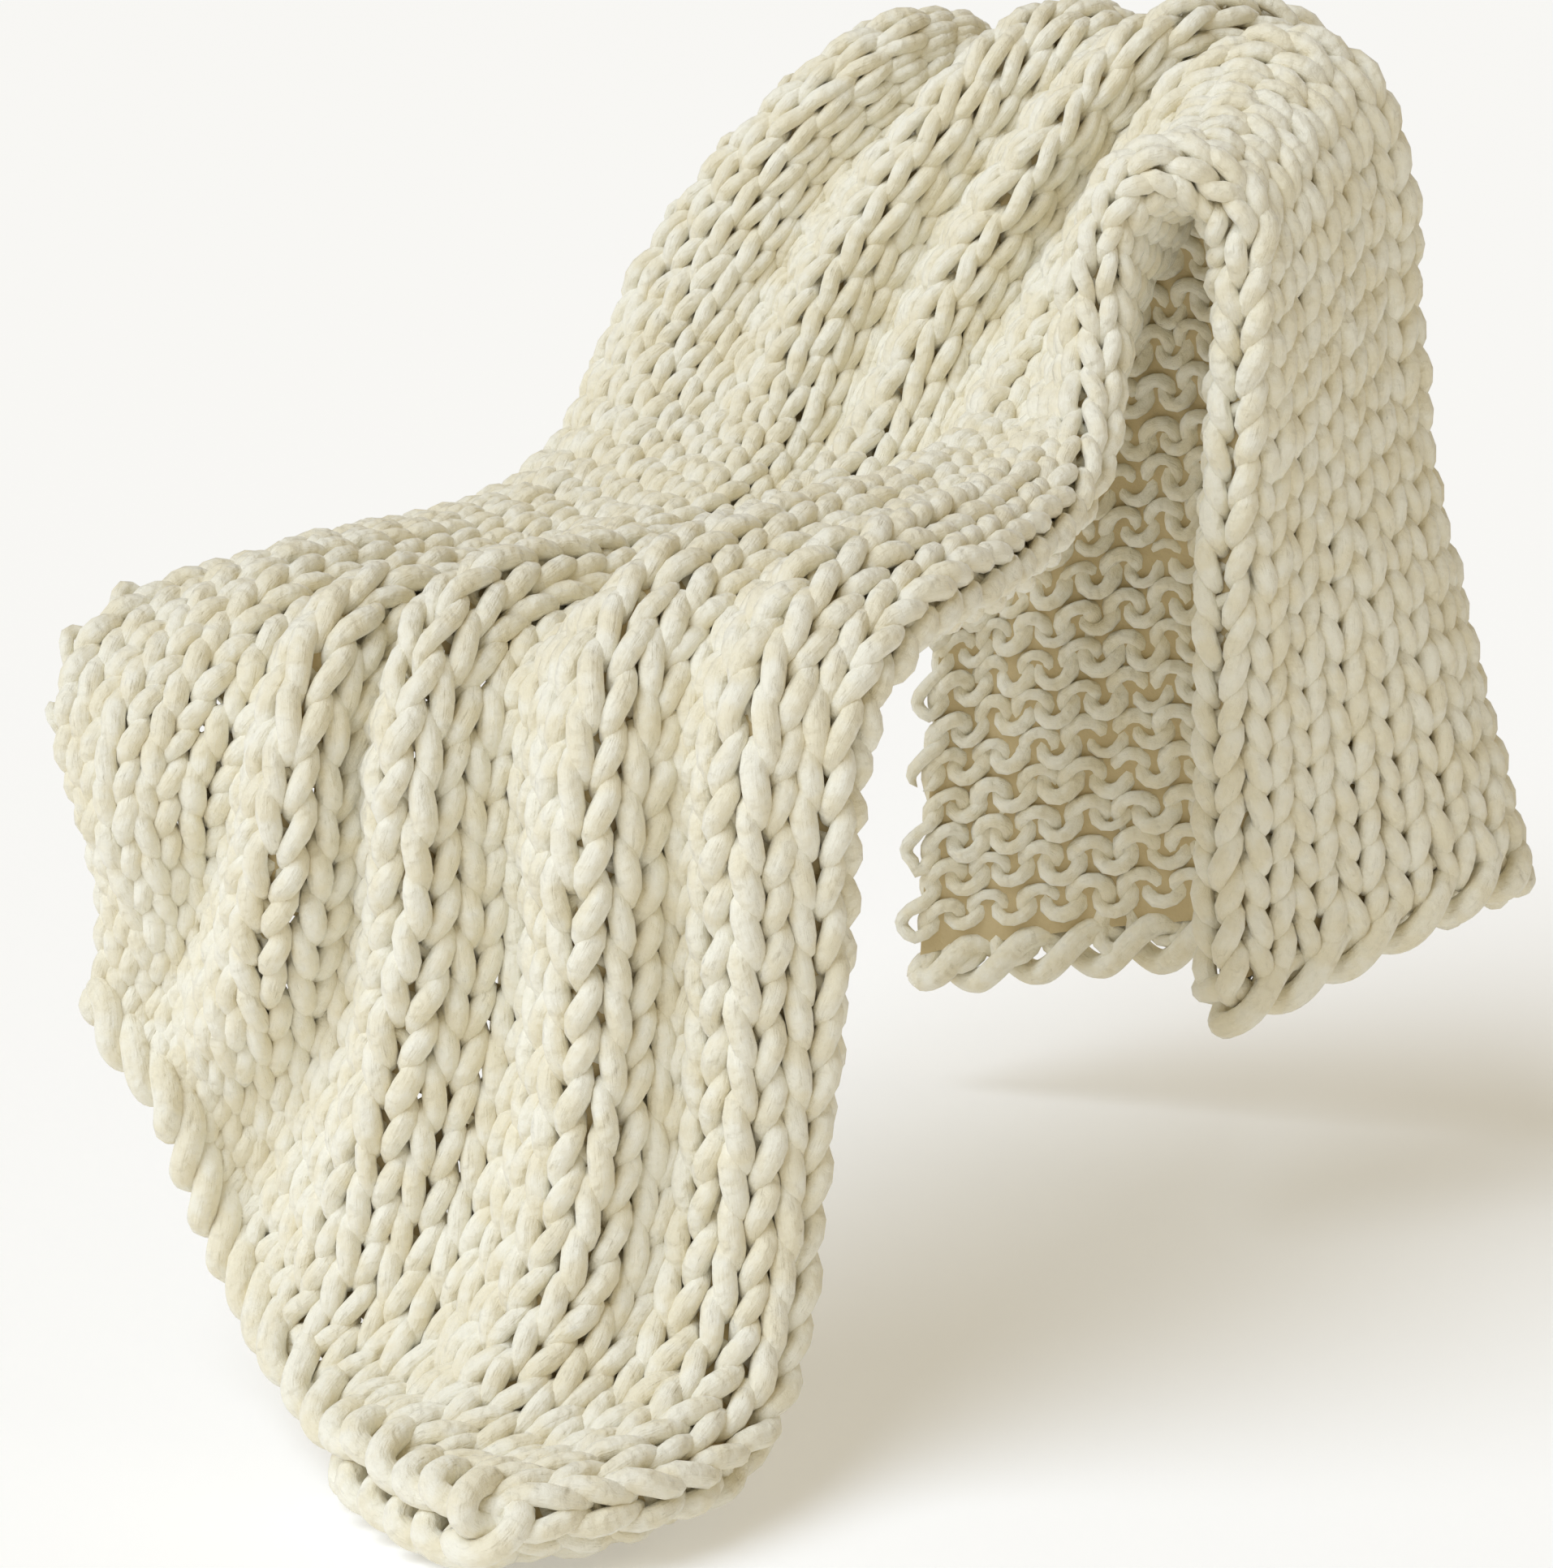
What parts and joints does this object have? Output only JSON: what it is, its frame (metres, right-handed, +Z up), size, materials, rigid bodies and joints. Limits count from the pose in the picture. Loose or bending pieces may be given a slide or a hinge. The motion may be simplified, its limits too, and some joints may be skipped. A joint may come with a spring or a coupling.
{
  "type": "folded throw blanket",
  "caption": "Chunky hand-knit throw in cream stocking stitch, draped over an armchair's seat, back and arm, with one side folded under.",
  "frame": {"origin": "the middle of the flat underside that rests on the chair's seat cushion", "axes": "+Z up; -Y towards the front of the chair, where the front hem reaches the floor; +X towards the arm the throw hangs over, which is the left hand of a sitter"},
  "size_m": [0.7095, 0.9402, 0.7484],
  "materials": {
    "yarn": "soft matte yarn, warm cream"
  },
  "bodies": {
    "root": {"yarn_skein_1": "yarn", "yarn_skein_2": "yarn", "yarn_skein_3": "yarn", "yarn_skein_4": "yarn", "yarn_skein_5": "yarn", "yarn_skein_6": "yarn", "yarn_skein_7": "yarn", "yarn_skein_8": "yarn", "yarn_skein_9": "yarn", "yarn_skein_10": "yarn", "yarn_skein_11": "yarn"}
  },
  "joints": []
}
